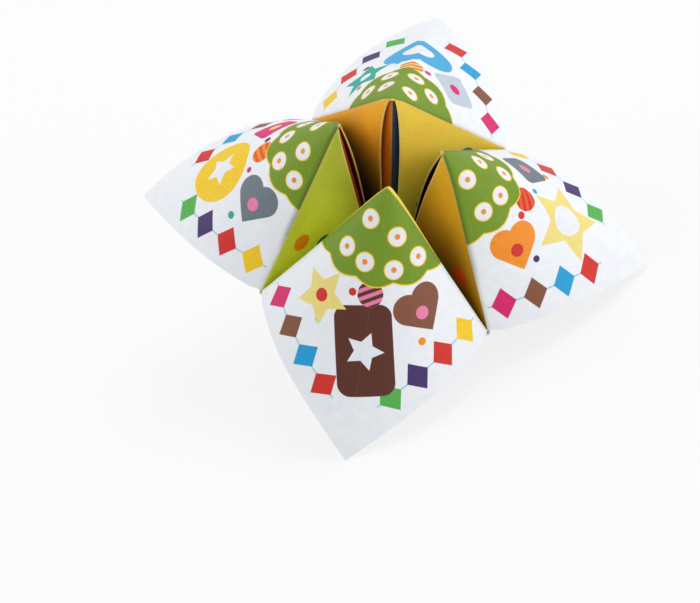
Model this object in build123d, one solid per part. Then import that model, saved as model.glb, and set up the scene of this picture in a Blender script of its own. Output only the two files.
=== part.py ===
from build123d import *
from math import acos, asin, atan2, cos, pi, radians, sin, sqrt, tan
import os

# A paper fortune teller: one square sheet, folded twice to its middle and opened out.
# It lies tipped on its bottom point and on two of its flap corners.
# Lengths are in millimetres and angles in degrees.

# The sheet
sheet_side = 200.0          # side of the square before folding
paper = 0.2                 # thickness of the paper
air = 0.15                  # air between two layers folded flat on each other

# How far it is opened: each valley runs from the bottom point to a side corner.
# The first value is its direction seen from above, the second how steeply it rises.
valleys = {
    "front_right": (-42.9, 35.4),
    "right_back": (46.7, 40.8),
    "back_left": (132.8, 38.0),
    "left_front": (223.4, 37.6),
}

# Each flap hangs between two valleys and hides one finger pocket.
flap_valleys = {
    "front": ("left_front", "front_right"),
    "right": ("front_right", "right_back"),
    "back": ("right_back", "back_left"),
    "left": ("back_left", "left_front"),
}
flap_bend = {"front": 55.0, "right": 51.0, "back": 50.0, "left": 60.0}   # turn of half a flap

# The two folded lips along each ridge stand a little apart and a little off the layer below.
lip_back = {"front": 0.7, "right": 1.7, "back": 1.4, "left": 1.2}        # back from the ridge
lip_lift = {"front": 0.7, "right": 0.9, "back": 0.8, "left": 0.9}        # off the base layer

seam_gap = 0.04             # half of the air between the two raw edges that meet in a valley
point_back = 2.2            # from the bottom point to the points of the inner triangles
fold_inset = 0.3            # from the hinge of a flap to the fold hidden behind it, at the side
tip_inset = 0.5             # from a tip to the top of the ridge hidden behind it
start_inset = 0.45          # from the hinge to the upper corners of the layers
foot_round = 0.9            # size of the blunt bottom point
lip_start = 1.0             # from the ridge to the lips at their upper ends

# Fineness of the curved panels
flap_steps = 12
lip_steps = 12
fold_steps = 4
valley_steps = 3

longest_mitre = 1.3         # sharper corners are blunted, in half thicknesses

# Values that follow
unit = sheet_side / 4
pitch = paper + air
bottom = Vector(0, 0, 0)


class Sheet:
    """The middle surface of the paper, as triangles that share their corners."""

    def __init__(self):
        self.points = []
        self.faces = []
        self.known = {}

    def corner(self, p):
        key = (round(p.X, 4), round(p.Y, 4), round(p.Z, 4))
        if key not in self.known:
            self.known[key] = len(self.points)
            self.points.append(p)
        return self.known[key]

    def triangle(self, a, b, c):
        ids = (self.corner(a), self.corner(b), self.corner(c))
        if len(set(ids)) == 3:
            self.faces.append(ids)

    def band(self, first, second):
        """Triangles between two rows of points."""
        for i in range(len(first) - 1):
            self.triangle(first[i], second[i], second[i + 1])
            self.triangle(first[i], second[i + 1], first[i + 1])


def direction(turn, rise):
    turn = radians(turn)
    rise = radians(rise)
    return Vector(cos(rise) * cos(turn), cos(rise) * sin(turn), sin(rise))


def mix(a, b, share):
    return a * (1 - share) + b * share


def tip_between(side_a, side_b):
    """Where the corner of the folded square comes to stand between two side corners."""
    middle = (side_a + side_b) * 0.5
    out = middle.normalized()
    across = (side_b - side_a).normalized()
    up = out.cross(across)
    if up.Z < 0:
        up = up * -1
    along = unit * unit / middle.length
    return out * along + up * sqrt(2 * unit * unit - along * along)


def mitre(normals, weights):
    """The shift that moves every one of the given planes out by one."""
    total = sum(weights)
    rows = [Vector(0.002 * total, 0, 0), Vector(0, 0.002 * total, 0), Vector(0, 0, 0.002 * total)]
    target = Vector(0, 0, 0)
    for n, w in zip(normals, weights):
        rows[0] = rows[0] + n * (w * n.X)
        rows[1] = rows[1] + n * (w * n.Y)
        rows[2] = rows[2] + n * (w * n.Z)
        target = target + n * w
    det = rows[0].dot(rows[1].cross(rows[2]))
    x = target.dot(rows[1].cross(rows[2])) / det
    y = rows[0].dot(target.cross(rows[2])) / det
    z = rows[0].dot(rows[1].cross(target)) / det
    return Vector(x, y, z)


class Facet:
    """One of the eight inner faces, between a ridge and a valley, and the layers of it.

    The top layer lies in the face itself, the second and the base layer behind it."""

    def __init__(self, tip, side, other_tip, other_side):
        self.tip = tip
        self.side = side
        self.out = side.normalized()
        self.inward = (tip - side).normalized()
        self.normal = self.upward(self.out, self.inward)
        other = self.upward(self.out, (other_tip - side).normalized())
        self.bisector = (self.normal + other).normalized()
        self.half = acos(self.normal.dot(self.bisector))
        twin = self.upward(other_side.normalized(), (tip - other_side).normalized())
        self.ridge_shift = (self.normal + twin) * (-1 / (1 + self.normal.dot(twin)))
        self.ridge_half = acos(self.normal.dot(twin)) / 2
        self.from_ridge = (side - tip * (side.dot(tip) / tip.dot(tip))).normalized()
        self.seam = (paper / 2 * sin(self.half) + seam_gap) / cos(self.half)

    def upward(self, out, inward):
        n = out.cross(inward).normalized()
        return n if n.dot(Vector(0, 0, 1)) > 0 else n * -1

    def near_tip(self, off, down, layers):
        """A point by its distances from the ridge, down from the tip and behind the face."""
        level = self.tip - self.normal * (layers * pitch)
        return level + self.from_ridge * off - self.tip.normalized() * down

    def ridge_top(self):
        """Upper end of the ridge of the base layer."""
        down = 2 * pitch * tan(self.ridge_half) + tip_inset * sqrt(2)
        return self.tip + self.ridge_shift * (2 * pitch) - self.tip.normalized() * down

    def layer_start(self, layers):
        """Corner of a layer beside the tip."""
        return self.near_tip(lip_start, lip_start + start_inset * sqrt(2), layers)

    def ridge_foot(self):
        """Lower end of the ridge of the base layer."""
        up = 2 * pitch * tan(self.ridge_half) + foot_round * sqrt(2) / 2
        return self.ridge_shift * (2 * pitch) + self.tip.normalized() * up

    def around(self, turn, sign):
        """Direction outward from the valley line, from behind this face to under the valley."""
        return (self.bisector * cos(turn) + self.across(sign) * sin(turn)) * -1

    def across(self, sign):
        level = self.normal - self.bisector * self.normal.dot(self.bisector)
        return level.normalized() * sign

    def valley_section(self, radius):
        """Half of the round underside of the valley at its outer end, up to its middle."""
        row = []
        for i in range(valley_steps + 1):
            turn = self.half * (1 - i / valley_steps)
            row.append(self.side - self.out * fold_inset + self.around(turn, 1) * radius)
        return row

    def base_foot_row(self):
        """The same half of the valley of the base layer, beside the bottom point."""
        rise = asin(self.out.Z)
        row = [self.ridge_foot()]
        for i in range(1, valley_steps + 1):
            turn = self.half * (1 - i / valley_steps)
            need = 2 * pitch * (sin(turn) - cos(turn) * sin(rise)) / cos(rise)
            along = max(need, 0) + foot_round
            row.append(self.around(turn, 1) * (2 * pitch) + self.out * along)
        return row

    def second_foot_row(self):
        """The same half of the valley of the second layer, at its free point."""
        row = []
        for i in range(valley_steps + 1):
            turn = self.half * (1 - i / valley_steps)
            row.append(self.out * point_back + self.around(turn, 1) * pitch)
        return row

    def inner_fold(self):
        """Rows of the fold between base and second layer: each runs tip, side, valley middle."""
        outer = self.valley_section(2 * pitch)
        inner = self.valley_section(pitch)
        start = self.layer_start(2)
        end = self.layer_start(1)
        rows = []
        for i in range(fold_steps + 1):
            a = pi * i / fold_steps
            share = (1 - cos(a)) / 2
            bulge = self.out * (pitch / 2 * sin(a))
            row = [mix(start, end, share) + bulge]
            row += [mix(p, q, share) + bulge for p, q in zip(outer, inner)]
            rows.append(row)
        return rows

    def hinge_start(self):
        """Where the hinge between top layer and flap begins, below the tip."""
        return self.tip - self.inward * (lip_start * sqrt(2))

    def top_side(self):
        """Corner of the top layer and of the flap, at the outer end of the valley."""
        return self.side + self.inward * self.seam

    def top_point(self):
        return self.out * (point_back + self.seam) + self.inward * self.seam

    def lip(self, start, end, back, lift):
        """The edge of a layer along the ridge, bowed off it, most of all a quarter of the way down."""
        row = []
        for i in range(lip_steps + 1):
            t = i / lip_steps
            bow = self.from_ridge * (back * sin(pi * t)) + self.normal * (lift * sin(pi * t) ** 2)
            row.append(mix(start, end, t * t) + bow)
        return row


def fold_row(low, high, outward):
    """Half round fold from one lip to the other, on the side given by outward."""
    rows = []
    for i in range(fold_steps + 1):
        a = pi * i / fold_steps
        row = []
        for j in range(len(low)):
            before = low[max(j - 1, 0)]
            after = low[min(j + 1, len(low) - 1)]
            along = (after - before).normalized()
            across = high[j] - low[j]
            bulge = along.cross(across)
            if bulge.dot(outward) < 0:
                bulge = bulge * -1
            middle = (low[j] + high[j]) * 0.5
            row.append(middle - across * (cos(a) / 2) + bulge * (sin(a) / 2))
        rows.append(row)
    return rows


def flap_directions(apex, hinge_a, hinge_b, bend):
    """Straight lines of the cone that a flap is bent to, from one hinge to the other."""
    a = (hinge_a - apex).normalized()
    b = (hinge_b - apex).normalized()
    middle = (a + b).normalized()
    across = (b - a).normalized()
    outward = middle.cross(across)
    if outward.dot(apex) < 0:
        outward = outward * -1
    size = atan2(pi / 4, radians(bend))
    turn = pi / 4 / sin(size)
    chord = 2 * asin(sin(size) * sin(turn / 2))
    lift = acos(cos(chord) / a.dot(middle))
    crease = middle * cos(lift) + outward * sin(lift)
    first = small_arc(a, crease, outward, size, turn)
    second = small_arc(crease, b, outward, size, turn)
    return first + second[1:]


def small_arc(a, b, outward, size, turn):
    """Directions from a to b on a circle of the given angular size, bulging outward."""
    middle = (a + b).normalized()
    across = (b - a).normalized()
    up = middle.cross(across)
    if up.dot(outward) < 0:
        up = up * -1
    lean = acos(cos(size) / a.dot(middle))
    axis = middle * cos(lean) - up * sin(lean)
    radial = (middle - axis * middle.dot(axis)).normalized() * sin(size)
    if (radial + axis * cos(size)).dot(up) < 0:
        radial = radial * -1
    sideways = axis.cross(radial)
    if sideways.dot(across) < 0:
        sideways = sideways * -1
    row = []
    for i in range(flap_steps + 1):
        t = (i / flap_steps - 0.5) * turn
        row.append(axis * cos(size) + radial * cos(t) + sideways * sin(t))
    return row


def flap_edge(facets, bend):
    """The free edge of a flap, from one side corner round its point to the other."""
    apex = facets[0].tip
    rays = flap_directions(apex, facets[0].side, facets[1].side, bend)
    row = [facets[0].top_side()]
    for i in range(1, 2 * flap_steps):
        k = min(i, 2 * flap_steps - i)
        row.append(apex + rays[i] * (unit / cos(pi / 4 * k / flap_steps)))
    return row + [facets[1].top_side()]


def fold_sheet():
    """The whole middle surface, and the points it can rest on."""
    sides = {k: direction(*v) * unit for k, v in valleys.items()}
    tips = {k: tip_between(sides[a], sides[b]) for k, (a, b) in flap_valleys.items()}
    sheet = Sheet()
    facets = {}
    feet = []
    for name, pair in flap_valleys.items():
        for side, other_side in (pair, pair[::-1]):
            other = [k for k, v in flap_valleys.items() if side in v and k != name][0]
            facets[name, side] = Facet(tips[name], sides[side], tips[other], sides[other_side])
            add_facet(sheet, facets[name, side], lip_back[name], lip_lift[name])
        feet.append(add_flap(sheet, [facets[name, side] for side in pair], flap_bend[name]))
    add_bottom(sheet, facets)
    return sheet, feet


def add_flap(sheet, facets, bend):
    """The flap outside one tip, hinged on the top layers. Gives its free corner."""
    apex = facets[0].tip
    edge = flap_edge(facets, bend)
    sheet.triangle(apex, facets[0].hinge_start(), edge[1])
    sheet.triangle(facets[0].hinge_start(), edge[0], edge[1])
    for i in range(1, len(edge) - 2):
        sheet.triangle(apex, edge[i], edge[i + 1])
    sheet.triangle(apex, edge[-2], facets[1].hinge_start())
    sheet.triangle(facets[1].hinge_start(), edge[-2], edge[-1])
    return edge[flap_steps]


def add_facet(sheet, facet, back, lift):
    """One inner face: its three layers, the folds between them and half of its valley."""
    fold = facet.inner_fold()
    for i in range(len(fold) - 1):
        sheet.band(fold[i], fold[i + 1])
    sheet.triangle(facet.ridge_foot(), facet.ridge_top(), fold[0][1])
    sheet.triangle(facet.ridge_top(), fold[0][0], fold[0][1])
    sheet.band(facet.base_foot_row(), fold[0][1:])
    second_foot = facet.second_foot_row()
    sheet.band(second_foot, fold[-1][1:])
    low = facet.lip(facet.layer_start(1), second_foot[0], back, lift)
    high = facet.lip(facet.layer_start(0), facet.top_point(), back, lift)
    sheet.triangle(facet.top_side(), facet.hinge_start(), high[0])
    for i in range(lip_steps):
        sheet.triangle(fold[-1][1], low[i], low[i + 1])
        sheet.triangle(facet.top_side(), high[i], high[i + 1])
    lips = fold_row(low, high, facet.from_ridge * -1)
    for i in range(len(lips) - 1):
        sheet.band(lips[i], lips[i + 1])


def add_bottom(sheet, facets):
    """Closes the base layer round the bottom point."""
    unders = [f.bisector * -1 for f in facets.values()]
    point = mitre(unders, [1] * len(unders)) * (2 * pitch)
    for facet in facets.values():
        row = facet.base_foot_row()
        for i in range(valley_steps):
            sheet.triangle(point, row[i], row[i + 1])


def edge_table(faces):
    table = {}
    for i, f in enumerate(faces):
        for a, b in ((f[0], f[1]), (f[1], f[2]), (f[2], f[0])):
            table.setdefault((min(a, b), max(a, b)), []).append((i, a, b))
    return table


def turn_alike(faces):
    """Gives all triangles the same sense, starting from the first."""
    table = edge_table(faces)
    done = {0}
    queue = [0]
    faces = list(faces)
    while queue:
        f = faces[queue.pop()]
        for a, b in ((f[0], f[1]), (f[1], f[2]), (f[2], f[0])):
            for j, _, _ in table[(min(a, b), max(a, b))]:
                if j in done:
                    continue
                g = faces[j]
                if (a, b) in ((g[0], g[1]), (g[1], g[2]), (g[2], g[0])):
                    faces[j] = (g[0], g[2], g[1])
                done.add(j)
                queue.append(j)
    return faces


def thicken(sheet):
    """Both surfaces of the paper and its raw edges, as one closed set of triangles."""
    faces = turn_alike(sheet.faces)
    pts = sheet.points
    normals = [[] for _ in pts]
    weights = [[] for _ in pts]
    for f in faces:
        a, b, c = (pts[i] for i in f)
        n = (b - a).cross(c - a).normalized()
        for i, p, q in ((f[0], b - a, c - a), (f[1], c - b, a - b), (f[2], a - c, b - c)):
            normals[i].append(n)
            weights[i].append(acos(max(-1, min(1, p.normalized().dot(q.normalized())))))
    shifts = [mitre(n, w) for n, w in zip(normals, weights)]
    shifts = [s * (paper / 2 * min(1, longest_mitre / s.length)) for s in shifts]
    top = [p + s for p, s in zip(pts, shifts)]
    base = [p - s for p, s in zip(pts, shifts)]
    closed = [(top[a], top[b], top[c]) for a, b, c in faces]
    closed += [(base[a], base[c], base[b]) for a, b, c in faces]
    for users in edge_table(faces).values():
        if len(users) == 1:
            _, a, b = users[0]
            closed.append((top[a], base[a], base[b]))
            closed.append((top[a], base[b], top[b]))
    return closed


def lowest_near(closed, foot, up):
    """The corner that would touch the ground near a foot."""
    near = [p for tri in closed for p in tri if (p - foot).length < 2]
    return min(near, key=lambda p: p.dot(up))


def at_rest(closed, feet):
    """Turns the folded sheet to lie on its bottom point, its front and its right flap."""
    places = [bottom, feet[0], feet[1]]
    contact = places
    for _ in range(3):
        up = (contact[1] - contact[0]).cross(contact[2] - contact[0]).normalized()
        contact = [lowest_near(closed, p, up) for p in places]
    up = (contact[1] - contact[0]).cross(contact[2] - contact[0]).normalized()
    right = (contact[2] - contact[1]).normalized()
    away = up.cross(right)
    turned = [[Vector(p.dot(right), p.dot(away), p.dot(up)) for p in tri] for tri in closed]
    xs = [p.X for tri in turned for p in tri]
    ys = [p.Y for tri in turned for p in tri]
    zs = [p.Z for tri in turned for p in tri]
    shift = Vector((min(xs) + max(xs)) / 2, (min(ys) + max(ys)) / 2, min(zs))
    return [[p - shift for p in tri] for tri in turned]


def solid_from(triangles):
    faces = [Face(Wire.make_polygon(tri, close=True)) for tri in triangles]
    return Solid(Shell(faces))


sheet, feet = fold_sheet()
folded_sheet = solid_from(at_rest(thicken(sheet), feet))

os.makedirs("parts", exist_ok=True)
export_step(folded_sheet, "parts/folded_sheet.step")
print(len(folded_sheet.faces()), folded_sheet.is_valid, folded_sheet.volume)
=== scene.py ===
from math import acos, asin, atan2, cos, pi, radians, sin, sqrt, tan

import bpy
from bpy.props import FloatProperty, FloatVectorProperty, IntProperty, PointerProperty
from mathutils import Matrix, Vector


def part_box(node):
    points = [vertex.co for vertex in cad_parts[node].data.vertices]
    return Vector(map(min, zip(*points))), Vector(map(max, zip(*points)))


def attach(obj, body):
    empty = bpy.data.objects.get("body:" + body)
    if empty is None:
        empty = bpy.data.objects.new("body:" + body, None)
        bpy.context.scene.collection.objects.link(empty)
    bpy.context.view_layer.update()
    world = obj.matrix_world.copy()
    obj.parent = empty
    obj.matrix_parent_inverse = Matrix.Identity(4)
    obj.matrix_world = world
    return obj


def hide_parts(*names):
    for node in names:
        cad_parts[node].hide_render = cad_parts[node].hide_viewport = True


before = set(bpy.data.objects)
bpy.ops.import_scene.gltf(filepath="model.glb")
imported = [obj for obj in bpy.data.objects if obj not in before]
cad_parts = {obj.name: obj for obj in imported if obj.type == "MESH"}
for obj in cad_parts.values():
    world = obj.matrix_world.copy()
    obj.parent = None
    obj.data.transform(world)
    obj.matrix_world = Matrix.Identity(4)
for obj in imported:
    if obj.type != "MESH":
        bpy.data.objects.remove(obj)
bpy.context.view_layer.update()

bl_info = {
    "name": "Paper fortune teller",
    "version": (1, 0, 0),
    "blender": (4, 5, 0),
    "location": "3D View > Sidebar > Fortune teller",
    "description": "One printed square sheet, folded to a fortune teller and opened out",
    "category": "Add Mesh",
}

MM = 0.001

# Points of neighbouring panels that are nearer than this are made one
WELD = 0.002 * MM

# The two valleys beside each flap
FLAPS = {
    "front": ("left_front", "front_right"),
    "right": ("front_right", "right_back"),
    "back": ("right_back", "back_left"),
    "left": ("back_left", "left_front"),
}

# Where the valleys end and the tips lie on the flat sheet, in quarters of its side
FLAT_SIDES = {
    "front_right": Vector((0, -1)),
    "right_back": Vector((1, 0)),
    "back_left": Vector((0, 1)),
    "left_front": Vector((-1, 0)),
}
FLAT_TIPS = {name: FLAT_SIDES[a] + FLAT_SIDES[b] for name, (a, b) in FLAPS.items()}


def setting(name, description, values, **kind):
    """One number of a property group, or a list of as many as are given."""
    if len(values) == 1:
        return FloatProperty(name=name, description=description, default=values[0], **kind)
    return FloatVectorProperty(
        name=name, description=description, size=len(values), default=values, **kind)


def length_setting(name, description, *millimetres):
    return setting(name, description, tuple(m * MM for m in millimetres), unit="LENGTH")


def angle_setting(name, description, *degrees):
    return setting(name, description, tuple(radians(d) for d in degrees), unit="ROTATION")


def power_setting(name, description, watts):
    return setting(name, description, (watts,), unit="POWER")


def colour_setting(name, description, *strengths):
    return setting(name, description, strengths, subtype="COLOR_GAMMA")


class FoldSizes(bpy.types.PropertyGroup):
    """The sheet and how far it is opened. Lists of four go front, right, back, left,
    or front right, right back, back left, left front for the valleys. Lists of eight
    give the two sides of each flap, in the order of FLAPS."""

    sheet_side: length_setting("Sheet side", "Side of the square before folding", 200)
    paper: length_setting("Paper", "Thickness of the paper", 0.2)
    air: length_setting("Air", "Air between two layers folded flat on each other", 0.15)
    valley_turns: angle_setting(
        "Valley directions", "Direction of each valley seen from above",
        -42.9, 46.7, 132.8, 223.4)
    valley_rises: angle_setting(
        "Valley slopes", "How steeply each valley rises", 35.4, 40.8, 38.0, 37.6)
    flap_bends: angle_setting("Flap bends", "Turn of half of each flap", 55, 51, 50, 60)
    lip_backs: length_setting(
        "Lips apart", "How far the middle of each lip stands back from its ridge",
        0.7, 0.7, -0.2, 0.6, 1.15, 2.4, 0.7, 0.95)
    lip_lifts: length_setting(
        "Lips raised", "How far the middle of each lip stands off the base layer",
        0.7, 0.7, 1.5, 2.6, 0.8, 0.9, 1.2, 0.8)
    tip_wear: length_setting(
        "Tip wear", "How far from its point each tip is pressed blunt", 0.3, 1.5, 3.2, 2.4)
    front_stretch: length_setting(
        "Front tip stretch", "How far the front tip is drawn out beyond its folds", 2.1)
    front_flat: length_setting(
        "Front tip flat", "How far back the front tip's point is pressed flat", 2.0)
    right_lean: length_setting(
        "Right tip lean", "How far the right tip leans toward the left one", 0.9)
    waviness: length_setting("Waviness", "How far the flaps wave in and out", 0.22)
    flap_steps: IntProperty(
        name="Flap steps", description="Panels across half a flap", default=24, min=4)
    lip_steps: IntProperty(
        name="Lip steps", description="Panels along a lip", default=24, min=4)
    rows: IntProperty(
        name="Rows", description="Panels from a side corner to a tip", default=14, min=2)


class PrintColours(bpy.types.PropertyGroup):
    """Colours of the paper and the print, as seen."""

    paper: colour_setting("Paper", "Unprinted face of the printed side", 0.955, 0.96, 0.97)
    blank: colour_setting("Blank side", "Back of the sheet", 0.93, 0.93, 0.915)
    tip_field: colour_setting("Tip field", "Field round each tip", 0.465, 0.59, 0.12)
    gold: colour_setting("Gold", "Inner faces, light", 0.94, 0.735, 0.15)
    amber: colour_setting("Amber", "Inner faces, warm", 1.0, 0.755, 0.215)
    lime: colour_setting("Lime", "Inner faces, green", 0.69, 0.72, 0.222)
    honey: colour_setting("Honey", "Inner faces, brightest", 1.0, 0.875, 0.33)
    chestnut: colour_setting("Chestnut", "Base layer, warm", 0.836, 0.452, 0.113)
    russet: colour_setting("Russet", "Base layer, deep red", 0.603, 0.168, 0.045)
    navy: colour_setting("Navy", "Base layer, dark blue", 0.184, 0.278, 0.391)
    # The nearly black base ink is painted shade: it stands in for the shadow deep in the right
    # tip's slits
    coal: colour_setting("Coal", "Base layer, nearly black", 0.11, 0.12, 0.07)
    rubbed: colour_setting("Rubbed", "Paper where the ink has rubbed off", 0.98, 0.88, 0.58)


class StageSettings(bpy.types.PropertyGroup):
    """Floor, lamps and camera."""

    floor_colour: colour_setting("Floor", "Colour of the floor", 0.96, 0.96, 0.965)
    key_power: power_setting("Key lamp", "Power of the lamp above, on the right", 2.8)
    window_power: power_setting("Window lamp", "Power of the lamp behind, on the left", 1.8)
    fill_power: power_setting(
        "Front lamp", "Power of the low soft lamp in front, on the right", 2.35)
    sky: FloatProperty(
        name="Room light", description="Level of the even light from all round", default=0.64)
    aim: FloatVectorProperty(
        name="Aim", description="Point at the middle of the picture",
        size=3, default=(-20.0 * MM, -4.5 * MM, 15.9 * MM), subtype="TRANSLATION",
        unit="LENGTH")
    distance: length_setting("Distance", "From the camera to the aim", 672.4)
    azimuth: angle_setting("Azimuth", "Camera's place round the object, 0 in front", -16.96)
    elevation: angle_setting("Elevation", "Camera's height above the horizon", 35.88)
    roll: angle_setting("Roll", "Turn of the camera about its line of sight", -21.80)
    lens: FloatProperty(
        name="Lens", description="Focal length for a 36 mm wide image", default=133.7,
        unit="CAMERA")


def mix(a, b, share):
    return a * (1 - share) + b * share


def ramp(number, start, end):
    """Runs from nothing at the start to one at the end, and stays there."""
    return min(max((number - start) / (end - start), 0), 1)


def direction(turn, rise):
    return Vector((cos(rise) * cos(turn), cos(rise) * sin(turn), sin(rise)))


def facing(way, guide):
    """A direction, turned round where it points away from the guide."""
    return way if way.dot(guide) > 0 else -way


def normal_up(a, b):
    """The upward normal of the plane through two directions."""
    return facing(a.cross(b), Vector((0, 0, 1))).normalized()


def tip_between(side_a, side_b, unit):
    """Where the corner of the folded square stands between two side corners."""
    out = side_a + side_b
    along = unit * unit * 2 / out.length
    up = normal_up(side_a, side_b)
    return out.normalized() * along + up * sqrt(2 * unit * unit - along * along)


class Facet:
    """One of the eight inner faces, between a ridge and a valley, and the layers of it.

    The top layer lies in the face itself, the second and the base layer behind it."""

    # Free point of the second layer, back from the bottom point along its valley
    point_back = 2.2 * MM
    # Fold between base and second layer, back from the valley's end
    fold_inset = 0.3 * MM
    # Tops of the base's ridges and corners of the layers, back from the tip
    tip_inset = 0.5 * MM
    start_inset = 0.45 * MM
    # Round of the base layer at the bottom point
    foot_round = 0.9 * MM
    # Lips at the tip, back from the ridge
    lip_start = 1.0 * MM
    # Half of the slit between the raw edges that meet in a valley
    seam_gap = 0.04 * MM
    # Panels across half the round of a valley, and round a fold
    valley_steps = 4
    fold_steps = 6

    def __init__(self, sizes, name, side_name, tips, sides):
        other_name = [k for k, pair in FLAPS.items() if side_name in pair and k != name][0]
        twin_name = [v for v in FLAPS[name] if v != side_name][0]
        self.flat_out = FLAT_SIDES[side_name]
        self.flat_in = FLAT_TIPS[name] - FLAT_SIDES[side_name]
        self.unit = sizes.sheet_side / 4
        self.pitch = sizes.paper + sizes.air
        self.tip = tips[name]
        self.side = sides[side_name]
        self.out = self.side.normalized()
        self.inward = (self.tip - self.side).normalized()
        self.normal = normal_up(self.side, self.tip)
        other = normal_up(self.side, tips[other_name])
        twin = normal_up(sides[twin_name], self.tip)
        self.bisector = (self.normal + other).normalized()
        self.half = acos(self.normal.dot(self.bisector))
        self.across = (self.normal - self.bisector * cos(self.half)).normalized()
        self.ridge = self.tip.normalized()
        self.from_ridge = (self.side - self.ridge * self.side.dot(self.ridge)).normalized()
        self.seam = (sizes.paper / 2 * sin(self.half) + self.seam_gap) / cos(self.half)
        index = 2 * list(FLAPS).index(name) + FLAPS[name].index(side_name)
        self.lip_back = self.from_ridge * sizes.lip_backs[index]
        self.lip_lift = self.normal * sizes.lip_lifts[index]
        # Ends of the base layer's ridge, at the tip and at the bottom point
        under = (self.normal + twin) * (-2 * self.pitch / (1 + self.normal.dot(twin)))
        spread = 2 * self.pitch * tan(acos(self.normal.dot(twin)) / 2)
        self.ridge_top = self.tip + under - self.ridge * (spread + self.tip_inset * sqrt(2))
        self.ridge_foot = under + self.ridge * (spread + self.foot_round * sqrt(2) / 2)
        # Corners of the top layer: at the tip, at the valley's end and near the bottom
        self.hinge_start = self.tip - self.inward * (self.lip_start * sqrt(2))
        self.top_side = self.side + self.inward * self.seam
        self.top_point = self.out * (self.point_back + self.seam) + self.inward * self.seam

    def layer_start(self, layers):
        """Corner of a layer beside the tip."""
        down = self.lip_start + self.start_inset * sqrt(2)
        level = self.tip - self.normal * (layers * self.pitch)
        return level + self.from_ridge * self.lip_start - self.ridge * down

    def around(self, share):
        """Outward from the valley line, from behind this face to under the valley's middle."""
        turn = self.half * (1 - share)
        return -(self.bisector * cos(turn) + self.across * sin(turn))

    def side_round(self, layers, share):
        """Round underside of the valley at its outer end, up to its middle."""
        radius = layers * self.pitch
        return self.side - self.out * self.fold_inset + self.around(share) * radius

    def base_foot(self, share):
        """The same for the base layer beside the bottom point."""
        if share == 0:
            return self.ridge_foot
        turn, rise = self.half * (1 - share), asin(self.out.z)
        need = 2 * self.pitch * (sin(turn) - cos(turn) * sin(rise)) / cos(rise)
        return self.around(share) * (2 * self.pitch) + self.out * (max(need, 0) + self.foot_round)

    def second_foot(self, share):
        """The same for the second layer, at its free point."""
        return self.out * self.point_back + self.around(share) * self.pitch

    def lip_share(self, u):
        """Share of the way along a lip, with shorter steps near the tip."""
        return u * (u + 0.1) / 1.1

    def lip(self, layers, u):
        """The edge of the top or the second layer along the ridge, bowed off it, most of all
        near the tip."""
        end = self.second_foot(0) if layers else self.top_point
        bow = self.lip_back * sin(pi * u) + self.lip_lift * sin(pi * u) ** 2
        return mix(self.layer_start(layers), end, self.lip_share(u)) + bow

    def lip_round(self, u, v):
        """The half round fold from the low lip to the high one."""
        low, high, step = self.lip(1, u), self.lip(0, u), 0.08
        along = self.lip(1, min(u + step, 1)) - self.lip(1, max(u - step, 0))
        bulge = facing(along.normalized().cross(high - low), -self.from_ridge)
        middle = (low + high) / 2
        return middle - (high - low) * (cos(pi * v) / 2) + bulge * (sin(pi * v) / 2)

    def side_fold(self, start, end, v):
        """The half round fold between the base and the second layer."""
        return mix(start, end, (1 - cos(pi * v)) / 2) + self.out * (self.pitch / 2 * sin(pi * v))

    def flat(self, x, y):
        """Place on the flat sheet of a point given along and across the valley."""
        return self.flat_out * x + self.flat_in * y

    def unfold(self, place, layers):
        """Place on the flat sheet of a point of one layer."""
        a = place.dot(self.out) / self.unit
        b = place.dot(self.inward) / self.unit
        return {2: self.flat(a, b), 1: self.flat(2 - a, b), 0: self.flat(2 - b, a)}[layers]


class FlapHalf:
    """Half of a flap, bent to a cone whose point is the tip."""

    def __init__(self, sizes, facet, other, bend):
        self.facet = facet
        self.apex = facet.tip
        first = (facet.side - self.apex).normalized()
        last = (other.side - self.apex).normalized()
        middle = (first + last).normalized()
        self.outward = facing(middle.cross(last - first), self.apex).normalized()
        self.size = atan2(pi / 4, bend)
        self.turn = pi / 4 / sin(self.size)
        chord = 2 * asin(sin(self.size) * sin(self.turn / 2))
        lift = acos(cos(chord) / first.dot(middle))
        crease = middle * cos(lift) + self.outward * sin(lift)
        self.circle(first, crease)
        self.waviness = sizes.waviness

    def circle(self, a, b):
        """The small circle that the straight lines of the cone run through, from a to b."""
        middle = (a + b).normalized()
        across = (b - a).normalized()
        up = facing(middle.cross(across), self.outward)
        lean = acos(cos(self.size) / a.dot(middle))
        axis = middle * cos(lean) - up * sin(lean)
        self.centre = axis * cos(self.size)
        self.radial = (middle - axis * middle.dot(axis)).normalized() * sin(self.size)
        if (self.radial + self.centre).dot(up) < 0:
            self.radial = -self.radial
        self.sideways = facing(axis.cross(self.radial), across)

    def reach(self, u):
        """Distance from the tip to the free edge, for a share u of the way to the crease.

        Beside the hinge the edge stays back by the seam, so that it meets the inner face."""
        shortened = self.facet.seam * ramp(u, 1 / 12, 0)
        return self.facet.unit / cos(pi / 4 * u) - shortened

    def spot(self, u, distance):
        t = (u - 0.5) * self.turn
        ray = self.centre + self.radial * cos(t) + self.sideways * sin(t)
        return self.apex + ray * distance + self.outward * self.wave(u, distance)

    def wave(self, u, distance):
        """Gentle waves that die out at the hinges and at the tip."""
        flat = self.unfold(u, distance)
        growth = (distance / self.facet.unit) ** 2 * sin(pi / 2 * u) ** 2
        ripple = sin(5.1 * flat.x + 2.3 * flat.y + 0.6) + 0.6 * sin(9.7 * flat.y - 4.1 * flat.x)
        return self.waviness * growth * ripple

    def unfold(self, u, distance):
        r = distance / self.facet.unit
        angle = pi / 4 * u
        return self.facet.flat(1 + r * cos(angle), 1 + r * sin(angle))


def nothing_selected():
    if bpy.context.mode != "OBJECT":
        bpy.ops.object.mode_set(mode="OBJECT")
    bpy.ops.object.select_all(action="DESELECT")


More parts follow.
